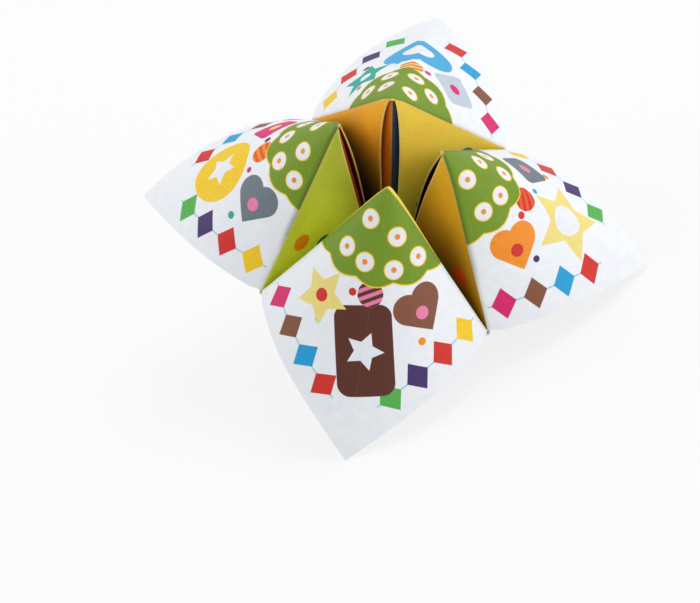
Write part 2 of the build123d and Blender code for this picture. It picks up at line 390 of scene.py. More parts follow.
def panel(columns, rows, place, flat, material):
    """A grid whose points go to place(u, v), printed from flat(u, v) of the sheet."""
    bpy.ops.mesh.primitive_grid_add(x_subdivisions=columns, y_subdivisions=rows, size=2)
    grid = bpy.context.object
    mesh = grid.data
    shares = [(round((p.co.x + 1) / 2 * columns) / columns,
               round((p.co.y + 1) / 2 * rows) / rows) for p in mesh.vertices]
    prints = [flat(u, v) for u, v in shares]
    layer = mesh.uv_layers.active.data
    for corner in mesh.loops:
        spot = prints[corner.vertex_index]
        layer[corner.index].uv = (spot.x / 4 + 0.5, spot.y / 4 + 0.5)
    for point, (u, v) in zip(mesh.vertices, shares):
        point.co = place(u, v)
    if not printed_side_up(mesh):
        mesh.flip_normals()
    mesh.materials.append(material)
    return grid


def printed_side_up(mesh):
    """True if the faces run counter-clockwise on the printed side of the flat sheet."""
    layer = mesh.uv_layers.active.data
    total = 0
    for face in mesh.polygons:
        spots = [layer[i].uv for i in face.loop_indices]
        total += sum(a.cross(b) for a, b in zip(spots, spots[1:] + spots[:1]))
    return total > 0


# What a round fold takes of the flat sheet, across it and at its end, in quarters of a side
FOLD_WIDTH = 0.004
FOLD_END = 0.01


def facet_panels(sizes, facet, inner, base):
    """The three layers of one inner face, the folds between them and half of its valley."""
    n, m = sizes.rows, sizes.lip_steps
    fold, valley = facet.fold_steps, facet.valley_steps
    start_0, start_1, start_2 = (facet.layer_start(layers) for layers in range(3))
    side_0, side_1, side_2 = facet.top_side, facet.side_round(1, 0), facet.side_round(2, 0)

    def layer(columns, rows, layers, paper, place):
        """A panel whose places on the flat sheet follow from its places in space."""
        return panel(columns, rows, place, lambda u, v: facet.unfold(place(u, v), layers), paper)

    def flat_lip(u, across=0.0):
        along = facet.lip_share(u)
        return facet.flat(1 + along + across, 1 - along + across)

    return [
        # Base layer: the face, its half of the valley, and the bottom
        layer(n, n, 2, base, lambda u, v: mix(
            mix(facet.ridge_top, start_2, u), mix(facet.ridge_foot, side_2, u), v)),
        layer(n, valley, 2, base, lambda u, v: mix(
            facet.base_foot(v), facet.side_round(2, v), u)),
        layer(1, valley, 2, base, lambda u, v: mix(facet.base_foot(v), facet.bottom, u)),
        # Fold to the second layer: beside the face, and round the valley's end
        panel(n, fold, lambda u, v: facet.side_fold(
            mix(start_2, side_2, u), mix(start_1, side_1, u), v),
            lambda u, v: facet.flat(1 + FOLD_WIDTH * (v - 0.5), 1 - u), base),
        panel(valley, fold, lambda u, v: facet.side_fold(
            facet.side_round(2, u), facet.side_round(1, u), v),
            lambda u, v: facet.flat(1 + FOLD_WIDTH * (v - 0.5), FOLD_END * (1 - u)), base),
        # Second layer: the face, and its half of the valley
        layer(m, n, 1, base, lambda u, v: mix(side_1, facet.lip(1, u), v)),
        layer(n, valley, 1, base, lambda u, v: mix(
            facet.second_foot(v), facet.side_round(1, v), u)),
        # Fold at the lip, and the top layer with its corner beside the tip
        panel(m, fold, facet.lip_round, lambda u, v: flat_lip(u, FOLD_WIDTH * (v - 0.5)), inner),
        panel(m, n, lambda u, v: mix(side_0, facet.lip(0, u), v),
              lambda u, v: mix(facet.unfold(side_0, 0), flat_lip(u), v), inner),
        layer(1, n, 0, inner, lambda u, v: mix(side_0, mix(facet.hinge_start, start_0, u), v)),
    ]


def flap_panels(sizes, half, material):
    """Half of a flap: the small piece at the tip, and the rest of the cone."""
    start = half.facet.lip_start * sqrt(2)

    def cone_panel(rows, distance):
        return panel(sizes.flap_steps, rows, lambda u, v: half.spot(u, distance(u, v)),
                     lambda u, v: half.unfold(u, distance(u, v)), material)

    return [cone_panel(1, lambda u, v: start * v),
            cone_panel(sizes.rows, lambda u, v: mix(start, half.reach(u), v))]


def under_mitre(facets):
    """The shift that takes the planes under all four valleys out by one."""
    normals = [-f.bisector for f in facets]
    square = Matrix([[sum(n[i] * n[j] for n in normals) for j in range(3)] for i in range(3)])
    target = Vector([sum(n[i] for n in normals) for i in range(3)])
    return square.inverted() @ target


def model_folded_sheet(sizes, flap_papers, inner_papers, base_papers):
    """Adds every panel of the sheet, joins them and welds them."""
    unit = sizes.sheet_side / 4
    sides = {name: direction(sizes.valley_turns[i], sizes.valley_rises[i]) * unit
             for i, name in enumerate(FLAT_SIDES)}
    tips = {name: tip_between(sides[a], sides[b], unit) for name, (a, b) in FLAPS.items()}
    facets = {(name, side): Facet(sizes, name, side, tips, sides)
              for name, pair in FLAPS.items() for side in pair}
    lowest = under_mitre([facets[name, pair[0]] for name, pair in FLAPS.items()])
    panels, corners = [], []
    for bend, (name, pair) in zip(sizes.flap_bends, FLAPS.items()):
        inks = zip(pair, pair[::-1], INNER_INKS[name], BASE_INKS[name])
        for side, other, inner_ink, base_ink in inks:
            facet = facets[name, side]
            facet.bottom = lowest * (2 * facet.pitch)
            panels += facet_panels(sizes, facet, inner_papers[inner_ink], base_papers[base_ink])
            half = FlapHalf(sizes, facet, facets[name, other], bend)
            panels += flap_panels(sizes, half, flap_papers[name])
        corners.append(half.spot(1, half.reach(1)))
    nothing_selected()
    for piece in panels:
        piece.select_set(True)
    sheet = panels[0]
    bpy.context.view_layer.objects.active = sheet
    bpy.ops.object.join()
    sheet.name = sheet.data.name = "printed_sheet"
    bpy.ops.object.mode_set(mode="EDIT")
    bpy.ops.mesh.select_all(action="SELECT")
    bpy.ops.mesh.remove_doubles(threshold=WELD)
    bpy.ops.mesh.dissolve_degenerate(threshold=WELD / 20)
    bpy.ops.object.mode_set(mode="OBJECT")
    feet = [facet.bottom] + corners[:2]
    points = [(tips[name], (tips[name] - (sides[a] + sides[b]) / 2).normalized())
              for name, (a, b) in FLAPS.items()]
    return sheet, feet, points


def thicken(sheet, sizes):
    """Gives the sheet its thickness, half to each side, with the blank side in the last slot."""
    solid = sheet.modifiers.new("paper", "SOLIDIFY")
    solid.thickness = sizes.paper
    solid.offset = 0
    solid.use_even_offset = True
    solid.use_quality_normals = True
    solid.thickness_clamp = 1.2
    solid.material_offset = len(sheet.data.materials)
    solid.material_offset_rim = 0
    bpy.ops.object.modifier_apply(modifier=solid.name)


def blunt_tips(sheet, tips, reaches):
    """Presses the last bit of each tip down, more and more towards its point."""
    pressed, most = 0.33, 1.1
    for (tip, _), reach in zip(tips, reaches):
        up = tip.normalized()
        for point in sheet.data.vertices:
            height = (point.co - tip).dot(up) / reach + 1
            if height > 0 and (point.co - tip).length < 3 * reach:
                point.co -= up * (pressed * reach * min(height, most) ** 2)


def draw_tip_out(sheet, tips, stretch, flat):
    """Draws the first tip out along its flap, most at its point, and flattens the point."""
    tip, along = tips[0]
    others = [other for other, _ in tips[1:]]
    point_now = tip + along * stretch
    for point in sheet.data.vertices:
        away = (point.co - tip).length
        nearest_other = min((point.co - other).length for other in others)
        own = ramp(nearest_other - away, 0, 6 * MM)
        point.co += along * (stretch * ramp(away, 36 * MM, 0) ** 2 * own)
        below = max((point_now - point.co).dot(along), 0)
        pressed = mix(below, sqrt(below ** 2 + flat ** 2), 0.85)
        point.co -= along * ((pressed - below) * ramp(away, 14 * MM, 6 * MM) * own)


def lean_tip(sheet, tips, lean):
    """Leans the second tip toward the fourth, less and less down its flap."""
    tip = tips[1][0]
    aside = (tips[3][0] - tip).normalized() * lean
    for point in sheet.data.vertices:
        point.co += aside * ramp((point.co - tip).length, 14 * MM, 0) ** 2


def lowest_near(sheet, foot, up):
    near = [p.co for p in sheet.data.vertices if (p.co - foot).length < 2 * MM]
    return min(near, key=lambda p: p.dot(up))


def plane_normal(a, b, c):
    return (b - a).cross(c - a).normalized()


def lay_down(sheet, feet):
    """Turns the sheet to lie on its bottom point and two flap corners, in the frame's box."""
    contact = feet
    for _ in range(3):
        up = plane_normal(*contact)
        contact = [lowest_near(sheet, foot, up) for foot in feet]
    up = plane_normal(*contact)
    right = (contact[2] - contact[1]).normalized()
    turn = Matrix((right, up.cross(right), up)).to_4x4()
    sheet.data.transform(turn)
    places = [p.co for p in sheet.data.vertices]
    low, high = (Vector([end(part) for part in zip(*places)]) for end in (min, max))
    box_low, box_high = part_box("folded_sheet")
    middle = (box_low + box_high - low - high) / 2
    sheet.data.transform(Matrix.Translation((middle.x, middle.y, box_low.z - low.z)))


def math_method(operation):
    """A method that adds a Math node with this operation."""
    return lambda value, *others: value.math(operation, *others)


class Value:
    """A number that may vary over a surface. Arithmetic on it adds Math nodes."""

    def __init__(self, graph, socket):
        self.graph = graph
        self.socket = socket

    def math(self, operation, *others, clamp=False):
        node = self.graph.node("ShaderNodeMath", dict(enumerate((self, *others))),
                               operation=operation, use_clamp=clamp)
        return Value(self.graph, node.outputs[0])

    __add__ = __radd__ = math_method("ADD")
    __sub__ = math_method("SUBTRACT")
    __mul__ = __rmul__ = math_method("MULTIPLY")
    __abs__ = math_method("ABSOLUTE")
    lowest = math_method("MINIMUM")
    highest = math_method("MAXIMUM")

    def __rsub__(self, other):
        return self * -1 + other

    def inside(self, softness=0.12):
        """One where a signed distance in millimetres is below nothing, with a soft edge."""
        return self.math("MULTIPLY_ADD", -1 / softness, 0.5, clamp=True)

    def ramp(self, start, end):
        """Runs from nothing at the start to one at the end, and stays there."""
        slope = 1 / (end - start)
        return self.math("MULTIPLY_ADD", slope, -start * slope, clamp=True)


class Graph:
    """The nodes of one material, or of the world, and the colour laid so far."""

    def __init__(self, owner):
        owner.use_nodes = True
        self.owner = owner
        self.tree = owner.node_tree
        self.tree.nodes.clear()
        self.colour = None

    def node(self, kind, inputs=None, **settings):
        node = self.tree.nodes.new(kind)
        for name, setting in settings.items():
            setattr(node, name, setting)
        for name, value in (inputs or {}).items():
            if isinstance(value, Value):
                value = value.socket
            if isinstance(value, bpy.types.NodeSocket):
                self.tree.links.new(value, node.inputs[name])
            else:
                node.inputs[name].default_value = value
        return node

    def value(self, socket):
        return Value(self, socket)

    def vector(self, operation, *inputs):
        """A Vector Math node's result, a vector, or a Value where it is a number."""
        node = self.node("ShaderNodeVectorMath", dict(enumerate(inputs)), operation=operation)
        if operation in ("LENGTH", "DISTANCE"):
            return self.value(node.outputs["Value"])
        return node.outputs["Vector"]

    def lay(self, colour, mask, mode="MIX"):
        """Lays a colour on those that are there, where the mask is one."""
        self.colour = self.node("ShaderNodeMix", {"Factor": mask, 6: self.colour, 7: colour},
                                data_type="RGBA", blend_type=mode).outputs[2]

    def noise(self, place, scale, detail, roughness):
        node = self.node("ShaderNodeTexNoise", {
            "Vector": place, "Scale": scale, "Detail": detail, "Roughness": roughness})
        return self.value(node.outputs["Fac"])

    def show(self, shader, kind="ShaderNodeOutputMaterial"):
        self.node(kind, {"Surface": shader.outputs[0]})

    def show_to_camera(self, shader, other, share, kind="ShaderNodeOutputMaterial"):
        """Shows a shader, and to the camera another one, by a share."""
        ray = self.value(self.node("ShaderNodeLightPath").outputs["Is Camera Ray"])
        self.show(self.node("ShaderNodeMixShader", {
            0: ray * share, 1: shader.outputs[0], 2: other.outputs[0]}), kind)


def seen(colour, factor=1.0):
    """The light value of a colour given as it is seen, with its alpha."""
    parts = [min(max(c * factor, 0), 1) for c in colour]
    return tuple(c / 12.92 if c < 0.04045 else ((c + 0.055) / 1.055) ** 2.4 for c in parts) + (1,)


def tint(name, factor=1.0):
    """One of the colours in the panel, made lighter or darker by a factor."""
    return seen(getattr(bpy.context.scene.print_colours, name), factor)


# Inks by their strengths from 0 to 255, as seen
INK = {name: seen((red / 255, green / 255, blue / 255)) for name, red, green, blue in (
    ("white", 240, 242, 246), ("magenta", 222, 28, 108), ("brown", 134, 82, 56),
    ("bark", 92, 44, 28), ("cyan", 24, 160, 216), ("red", 216, 44, 36),
    ("orange", 248, 146, 28), ("flame", 232, 92, 32), ("green", 84, 180, 76),
    ("forest", 22, 128, 66), ("teal", 44, 170, 150), ("purple", 68, 44, 106),
    ("yellow", 250, 206, 32), ("straw", 244, 222, 130), ("sky", 70, 172, 224),
    ("slate", 112, 122, 130), ("mist", 196, 206, 218), ("pink", 240, 130, 170),
    ("thread", 168, 212, 236),
)}

# The row of lozenges along the free edges, from one side corner round to the other
ROW_INKS = ("magenta", "brown", "cyan", "red", "green", "purple", "red", "yellow")

# Print of each flap: the large shape on the crease with its inks and the shape in it, the
# accent before it, a shape with a core on each side, and inks of the small dots
FLAP_DESIGNS = {
    "front": (("oblong", "bark", "white", "star"), ("pink", "bark"),
              (("star", "straw", "red"), ("heart", "brown", "pink")),
              ("red", "magenta", "cyan", "orange", "bark")),
    "right": (("star", "straw", "white", "disc"), ("flame", "red"),
              (("heart", "orange", "red"), ("rounded", "slate", "pink")),
              ("red", "cyan", "purple", "orange", "mist")),
    "back": (("heart", "sky", "white", "heart"), ("flame", "straw"),
             (("rounded", "mist", "magenta"), ("star", "teal", "white")),
             ("magenta", "sky", "flame", "purple", "red")),
    "left": (("disc", "yellow", "white", "star"), ("flame", "orange"),
             (("rounded", "magenta", "straw"), ("heart", "slate", "pink")),
             ("purple", "magenta", "flame", "teal", "yellow")),
}

# Small dots in the gaps between the shapes: places along and across the crease, and radii,
# in millimetres as all places and sizes of the print
CONFETTI = ((27.6, -4.9, 1.0), (31.0, 4.0, 0.8), (36.4, -12.9, 0.9), (37.6, 14.4, 1.0),
            (24.6, 14.6, 0.8))

# Places of the shapes along and across the crease, the large one's radii outside and inside
MAIN_PLACE, MAIN_RADII, MAIN_TURN = (41.8, 0.3), (9.4, 4.2), radians(12)
ACCENT_PLACE, ACCENT_RADIUS, STRIPE_TURN, STRIPE_WIDTH = (27.4, -0.4), 3.2, radians(30), 1.9
SIDE_ALONG, SIDE_ACROSS, SIDE_RADIUS, SIDE_CORE, SIDE_TURN = 30.4, (-13.2, 13.4), 6.4, 1.7, 3

# Half length, half width and corner of the shapes with four straight sides, in radii
BLOCKS = {"rounded": (0.82, 0.82, 0.3), "oblong": (1.24, 0.78, 0.34)}
STAR_POINTS, STAR_WAIST, STAR_SIZE = 5, 0.5, 1.2
HEART_SIZE = 0.6

# Field round a tip: how far it reaches, its scallops, and its white spots' places and radii
FIELD_REACH, FIELD_RIM, SCALLOPS, SCALLOP_DEPTH = 24.0, 0.35, 8, 1.3
TIP_SPOTS = ((9.4, -3.4), (12.6, 4.0), (17.2, -8.6), (16.8, 10.4), (19.8, -3.0), (20.6, 4.4))
SPOT_RADIUS, SPOT_RIM, SPOT_CORE = 2.2, 0.3, 0.7

# Rows of lozenges: distance from the tip to a row, where it starts, spacing, half width and
# half length of a lozenge, and half width of the thread
ROW_REACH, ROW_START, ROW_SPACING, LOZENGE, THREAD = 43.2, 1.275, 8.5, (4.3, 3.3), 0.22

# Width of the inner faces' ink beyond each flap's two folds at the tip, and where it ends
FRINGES = {"front": (0.3, 0.9), "right": (0.35, 0.25), "back": (0.3, 0.3), "left": (0.3, 0.25)}
FRINGE_LENGTH = 18

# Painted shade beside each flap's folds near its tip, where the flap turns away from the light:
# how strong it is on each flap, where it fades out along the flap, and the colour it darkens by
FOLD_SHADES = {"front": 0.1, "right": 0.6, "back": 0.1, "left": 0.85}
FOLD_SHADE_FADE = (27, 23)
FOLD_SHADE_COLOUR = (0.45, 0.45, 0.45, 1)

# Painted light and shade on the inner faces: how much lighter or darker they are made at their
# valley, deep in the mouth, and at both, and where these fade in, by distance from the sheet's
# farther and nearer middle line
PAINTED_INNER_LIGHT = {"lime": (1.25, 1.12, 1.36), "gold": (0.74, 0.72, 0.7),
               "honey": (1.02, 1.1, 1.22), "amber": (0.98, 0.52, 0.38)}
VALLEY_FADE, DEEP_FADE, BOTH_FADES = (50, 100), (46, 20), ((66, 84), (49, 44))

# Inks of the inner faces and of the base layer under them, on the two sides of each flap
INNER_INKS = {"front": ("lime", "gold"), "right": ("gold", "gold"),
              "back": ("honey", "amber"), "left": ("amber", "lime")}
# The right tip's nearly black base ink is painted shade in its slits
BASE_INKS = {"front": ("navy", "chestnut"), "right": ("coal", "coal"),
             "back": ("navy", "chestnut"), "left": ("russet", "russet")}

# Painted light on the base layer beside its ridges, where little light reaches: how much paler it
# is made there, and how wide
PAINTED_RIDGE_LIGHT = {"chestnut": 0.65, "russet": 0.1}
PAINTED_RIDGE_LIGHT_WIDTH = 2.4

# Discs in a row beside the valley of an inner face: the row's distance from the sheet's
# middle and its inks, the last one at the valley's outer end
INNER_ROWS = {
    "lime": (84.0, ("forest", "purple", "forest", "orange")),
    "gold": (85.0, ("flame", "forest", "teal", "flame")),
    "honey": (86.5, ("flame", "forest", "orange", "teal")),
    "amber": (89.0, ("forest", "purple", "flame", "purple")),
}
DISCS_START, DISC_SPACING, DISC_RADIUS = 12, 9.0, 2.6


def print_side():
    """Side of the flat sheet in millimetres."""
    return bpy.context.scene.fold_sizes.sheet_side / MM


def print_place(graph, shift, turn=0.0):
    """The sheet's UV map in millimetres, turned and shifted."""
    side = print_side()
    return graph.node("ShaderNodeMapping", {
        "Vector": graph.node("ShaderNodeTexCoord").outputs["UV"], "Location": shift,
        "Rotation": (0, 0, turn), "Scale": (side, side, 1)}).outputs[0]


def sheet_place(graph):
    """Place on the flat sheet in millimetres from its middle."""
    half = print_side() / 2
    return print_place(graph, (-half, -half, 0))


def quarter_place(graph):
    """The same, alike in all four quarters of the sheet."""
    return graph.vector("ABSOLUTE", sheet_place(graph))


def tip_place(graph, name):
    """Place in millimetres from one tip, first along the flap's crease, then across it."""
    tip = FLAT_TIPS[name]
    turn = -atan2(tip.y, tip.x)
    centre = Vector((tip.x / 4 + 0.5, tip.y / 4 + 0.5, 0)) * print_side()
    return print_place(graph, -(Matrix.Rotation(turn, 3, "Z") @ centre), turn)


def split(graph, place):
    node = graph.node("ShaderNodeSeparateXYZ", {0: place})
    return graph.value(node.outputs["X"]), graph.value(node.outputs["Y"])


def moved(graph, place, centre, turn):
    """Place as measured from a centre, on axes that are turned."""
    return graph.node("ShaderNodeMapping", {
        "Vector": place, "Location": (*centre, 0), "Rotation": (0, 0, turn)},
        vector_type="TEXTURE").outputs[0]


def disc(graph, place, centre, radius):
    return graph.vector("DISTANCE", place, (*centre, 0)) - radius


def rounded(graph, place, centre, radius, turn, block):
    """Distance to a rectangle with round corners."""
    half_length, half_width, corner = (part * radius for part in block)
    folded = graph.vector("ABSOLUTE", moved(graph, place, centre, turn))
    inner = (half_length - corner, half_width - corner, 0)
    corners = graph.vector("MAXIMUM", graph.vector("SUBTRACT", folded, inner), (0, 0, 0))
    return graph.vector("LENGTH", corners) - corner


def lozenge(across, along, half_across, half_along):
    """Distance to a lozenge from the distances to its middle lines."""
    slope = sqrt(1 / half_across ** 2 + 1 / half_along ** 2)
    sides = abs(across) * (1 / half_across / slope) + abs(along) * (1 / half_along / slope)
    return sides - 1 / slope


def star(graph, place, centre, radius, turn):
    """Distance to a star: each point is two straight sides, folded to one by its angle."""
    x, y = split(graph, graph.vector("SUBTRACT", place, (*centre, 0)))
    step = 2 * pi / STAR_POINTS
    angle = (y.math("ARCTAN2", x) + turn) * (1 / step)
    fold = abs(angle.math("FRACT") - 0.5) * step
    waist = radius * STAR_WAIST
    lean = atan2(radius - waist * cos(step / 2), waist * sin(step / 2))
    length = graph.vector("DISTANCE", place, (*centre, 0))
    return length * (fold - lean).math("COSINE") - radius * cos(lean)


def heart(graph, place, centre, radius, turn):
    """Distance to a heart: a square on its corner with a disc on two of its sides."""
    upright = moved(graph, place, centre, turn)
    folded = graph.vector("MAXIMUM", upright, graph.vector("MULTIPLY", upright, (1, -1, 1)))
    x, y = split(graph, folded)
    half = radius * sqrt(0.5)
    square = (abs(x) + abs(y)) * sqrt(0.5) - radius
    return square.lowest(disc(graph, folded, (-half, half), radius))


def figure(graph, kind, place, centre, radius, turn=0.0):
    """Distance to one of the simple printed shapes."""
    if kind == "disc":
        return disc(graph, place, centre, radius)
    if kind == "star":
        return star(graph, place, centre, radius * STAR_SIZE, turn)
    if kind == "heart":
        return heart(graph, place, centre, radius * HEART_SIZE, turn)
    return rounded(graph, place, centre, radius, turn, BLOCKS[kind])


def ink_by_number(graph, inks, number):
    """One of some inks, by a number that runs from nothing to one."""
    node = graph.node("ShaderNodeValToRGB", {0: number})
    node.color_ramp.interpolation = "CONSTANT"
    stops = node.color_ramp.elements
    while len(stops) < len(inks):
        stops.new(1)
    for i, name in enumerate(inks):
        stops[i].position = i / len(inks)
        stops[i].color = INK[name]
    return node.outputs["Color"]


def tip_field(graph, place):
    """The field round a tip, with a scalloped edge and white spots."""
    x, y = split(graph, place)
    scallops = abs((y.math("ARCTAN2", x) * SCALLOPS).math("COSINE")) * SCALLOP_DEPTH
    field = graph.vector("LENGTH", place) - FIELD_REACH - scallops
    graph.lay(INK["yellow"], (field - FIELD_RIM).inside())
    graph.lay(tint("tip_field"), field.inside())
    spots = [disc(graph, place, centre, SPOT_RADIUS) for centre in TIP_SPOTS]
    nearest = spots[0]
    for spot in spots[1:]:
        nearest = nearest.lowest(spot)
    graph.lay(INK["yellow"], (nearest - SPOT_RIM).inside())
    graph.lay(INK["white"], nearest.inside())
    graph.lay(INK["orange"], (nearest + (SPOT_RADIUS - SPOT_CORE)).inside())


def row_of_four(along, start, spacing):
    """Four places in a row: the number of the one at a point, and the distances along the
    row from its middle and beyond the row's ends."""
    steps = (along - start) * (1 / spacing)
    within = (steps.math("FRACT") - 0.5) * spacing
    return steps.math("FLOOR"), within, (abs(steps - 2) - 2) * spacing


def lozenge_row(graph, place):
    """Lozenges on a thread, in two straight rows beside the free edges of a flap."""
    x, y = split(graph, place)
    along_edge = (x - abs(y)) * sqrt(0.5)
    to_edge = (x + abs(y)) * sqrt(0.5) - ROW_REACH
    step, within, row_end = row_of_four(along_edge, ROW_START, ROW_SPACING)
    thread = (abs(to_edge) - THREAD).highest(row_end)
    graph.lay(INK["thread"], thread.inside())
    number = (y.math("SIGN") * (3.5 - step) + 3.5) * (1 / 8) + 1 / 16
    mask = lozenge(to_edge, within, *LOZENGE).inside() * row_end.inside()
    graph.lay(ink_by_number(graph, ROW_INKS, number), mask)


def stripes(graph, place, turn, width):
    """Ones and noughts in bands."""
    x, y = split(graph, place)
    run = x * (cos(turn) / width) + y * (sin(turn) / width)
    from_middle = abs(run.math("FRACT") - 0.5)
    return from_middle.math("MULTIPLY_ADD", width * 6, 0.5 - width * 1.5, clamp=True)


def flap_print(graph, name):
    """All that is printed on one flap."""
    (shape, outer, inner, inner_shape), (band, line), sides, dots = FLAP_DESIGNS[name]
    place = tip_place(graph, name)
    graph.colour = tint("paper")
    lozenge_row(graph, place)

    def add(distance, ink_name, share=1.0):
        graph.lay(INK[ink_name], distance.inside() * share)

    for (along, across, size), dot_ink in zip(CONFETTI, dots):
        add(disc(graph, place, (along, across), size), dot_ink)
    for kind, main_ink, radius in zip((shape, inner_shape), (outer, inner), MAIN_RADII):
        add(figure(graph, kind, place, MAIN_PLACE, radius, MAIN_TURN), main_ink)
    accent = disc(graph, place, ACCENT_PLACE, ACCENT_RADIUS)
    add(accent, band)
    add(accent, line, stripes(graph, place, STRIPE_TURN, STRIPE_WIDTH))
    for (kind, body, core), across in zip(sides, SIDE_ACROSS):
        centre, turn = (SIDE_ALONG, across), radians(across * SIDE_TURN)
        add(figure(graph, kind, place, centre, SIDE_RADIUS, turn), body)
        add(disc(graph, place, centre, SIDE_CORE), core)
    tip_field(graph, place)
    x, y = split(graph, place)
    from_fold = (x - abs(y)) * sqrt(0.5)
    first, last = FRINGES[name]
    width = y.math("SIGN") * ((last - first) / 2) + (first + last) / 2
    fringe = from_fold - x.ramp(FRINGE_LENGTH, 0) * width
    graph.lay(tint("honey"), fringe.inside(0.2))
    # Painted shade: the tip field is darkened beside the two folds
    shade = (from_fold - 0.9).inside(1.5) * x.ramp(*FOLD_SHADE_FADE)
    graph.lay(FOLD_SHADE_COLOUR, shade * FOLD_SHADES[name], "MULTIPLY")


def inner_print(graph, kind):
    """The inner faces: plain, with painted light and shade towards the valley and deep in the
    mouth, and a row of discs.
    """
    x, y = split(graph, quarter_place(graph))
    out, level = x.highest(y), x.lowest(y)
    at_valley, deep, at_both = (tint(kind, tone) for tone in PAINTED_INNER_LIGHT[kind])
    graph.colour = tint(kind)
    # Painted light and shade: lighter or darker copies of the ink, laid by place in the mouth
    graph.lay(at_valley, out.ramp(*VALLEY_FADE))
    graph.lay(deep, level.ramp(*DEEP_FADE))
    graph.lay(at_both, out.ramp(*BOTH_FADES[0]) * level.ramp(*BOTH_FADES[1]))
    row_place, inks = INNER_ROWS[kind]
    step, within, row_end = row_of_four(level, DISCS_START, DISC_SPACING)
    row = graph.node("ShaderNodeCombineXYZ", {"X": out - row_place, "Y": within})
    spot = (graph.vector("LENGTH", row.outputs[0]) - DISC_RADIUS).highest(row_end)
    graph.lay(ink_by_number(graph, inks, (step + 0.5) * (1 / 4)), spot.inside())


def from_diagonal(x, y):
    """Distance from the line that the ridges and the creases of the flaps lie on."""
    return abs(x - y) * sqrt(0.5)


def base_print(graph, kind):
    """The base layer's plain ink, with painted light beside its ridges, and ink rubbed off on
    them.
    """
    ridge = from_diagonal(*split(graph, quarter_place(graph)))
    # Painted light: the base ink is made paler beside its ridges
    painted_light = ridge.ramp(PAINTED_RIDGE_LIGHT_WIDTH, 0) * PAINTED_RIDGE_LIGHT.get(kind, 0.0)
    graph.colour = tint(kind)
    graph.lay(tint("amber", 0.8), painted_light)
    graph.lay(tint("rubbed"), ridge.ramp(0.42, 0.22) * 0.8)


def crease_wear(graph):
    """Ink that has rubbed off along the folds, in patches, and round the tips."""
    place = sheet_place(graph)
    folded = graph.vector("ABSOLUTE", place)
    x, y = split(graph, folded)
    side = print_side() / 4
    hinge = abs(x.highest(y) - side).lowest(abs(x.lowest(y) - side))
    lip = abs(x + y - 2 * side) * sqrt(0.5)
    near = (hinge + 0.16).lowest(from_diagonal(x, y) + 0.3)
    patches = graph.noise(place, 0.9, 4.0, 0.7)
    worn = near.ramp(0.36, 0.11) * patches.ramp(0.28, 0.7345)
    edge = lip.ramp(0.34, 0.14) * (patches * 0.6 + 0.45)
    tip = disc(graph, folded, (side, side), 1.1).inside(0.8) * 0.8
    graph.lay(tint("rubbed"), worn.highest(edge).highest(tip) * 0.8)


def ink_cover(graph):
    """How much ink lies on the paper, by the weakest of the colour's three lights."""
    node = graph.node("ShaderNodeSeparateColor", {"Color": graph.colour})
    red, green, blue = (graph.value(node.outputs[i]) for i in range(3))
    return 1 - red.lowest(green).lowest(blue)


def paper_finish(graph, gloss=0.52, ink_share=1.0, round_hinges=False):
    """The paper under the ink: fibres, mottled ink, fine bumps and soft creases.

    Heights are shares of the bump's depth. With round hinges, a flap turns down softly
    over its two folded edges."""
    depth, crease_width, hinge_width, hinge_drop = 1.2 * MM, 0.714, 1.1, 0.34
    place = sheet_place(graph)
    mottle = graph.noise(place, 0.35, 5.0, 0.6)
    fibres = graph.noise(graph.vector("MULTIPLY", place, (1, 2.2, 1)), 4.5, 4.0, 0.65)
    grain = graph.noise(place, 1.5, 3.0, 0.7)
    tone = (mottle - 0.5) * (0.16 * ink_share) + (fibres - 0.5) * 0.10 + 1.0
    tone = tone + (grain - 0.5) * (ink_cover(graph) * (0.42 * ink_share) + 0.04)
    grey = graph.node("ShaderNodeCombineColor", {0: tone, 1: tone, 2: tone})
    graph.lay(grey.outputs[0], 1.0, "MULTIPLY")
    roughness = (fibres - 0.5) * 0.22 + (mottle - 0.5) * 0.14 + gloss
    x, y = split(graph, graph.vector("ABSOLUTE", place))
    groove = from_diagonal(x, y).ramp(crease_width, 0)
    height = fibres * 0.0055 + mottle * 0.0165 + groove * groove * 0.0275
    if round_hinges:
        hinge = print_side() / 4
        within = x.lowest(y).ramp(hinge + hinge_width, hinge)
        height = height - within * within * hinge_drop
    bump = graph.node("ShaderNodeBump", {
        "Strength": 1.0, "Distance": depth, "Height": height})
    graph.show(graph.node("ShaderNodeBsdfPrincipled", {
        "Base Color": graph.colour, "Roughness": roughness, "Normal": bump.outputs[0],
        "Specular IOR Level": 0.35}))
    return graph.owner


def print_material(part, kind, draw, worn, **finish):
    """Paper of one part of the sheet, with what draw prints on it."""
    graph = Graph(bpy.data.materials.new("printed_%s_%s" % (part, kind)))
    draw(graph, kind)
    if worn:
        crease_wear(graph)
    return paper_finish(graph, **finish)


def blank_material():
    """The back of the sheet, gold round each folded tip."""
    graph = Graph(bpy.data.materials.new("blank_paper"))
    side = print_side() / 4
    tip = disc(graph, quarter_place(graph), (side, side), 6.0)
    graph.colour = tint("blank")
    graph.lay(tint("gold"), tip.inside(0.6))
    return paper_finish(graph, gloss=0.7, ink_share=0.4)


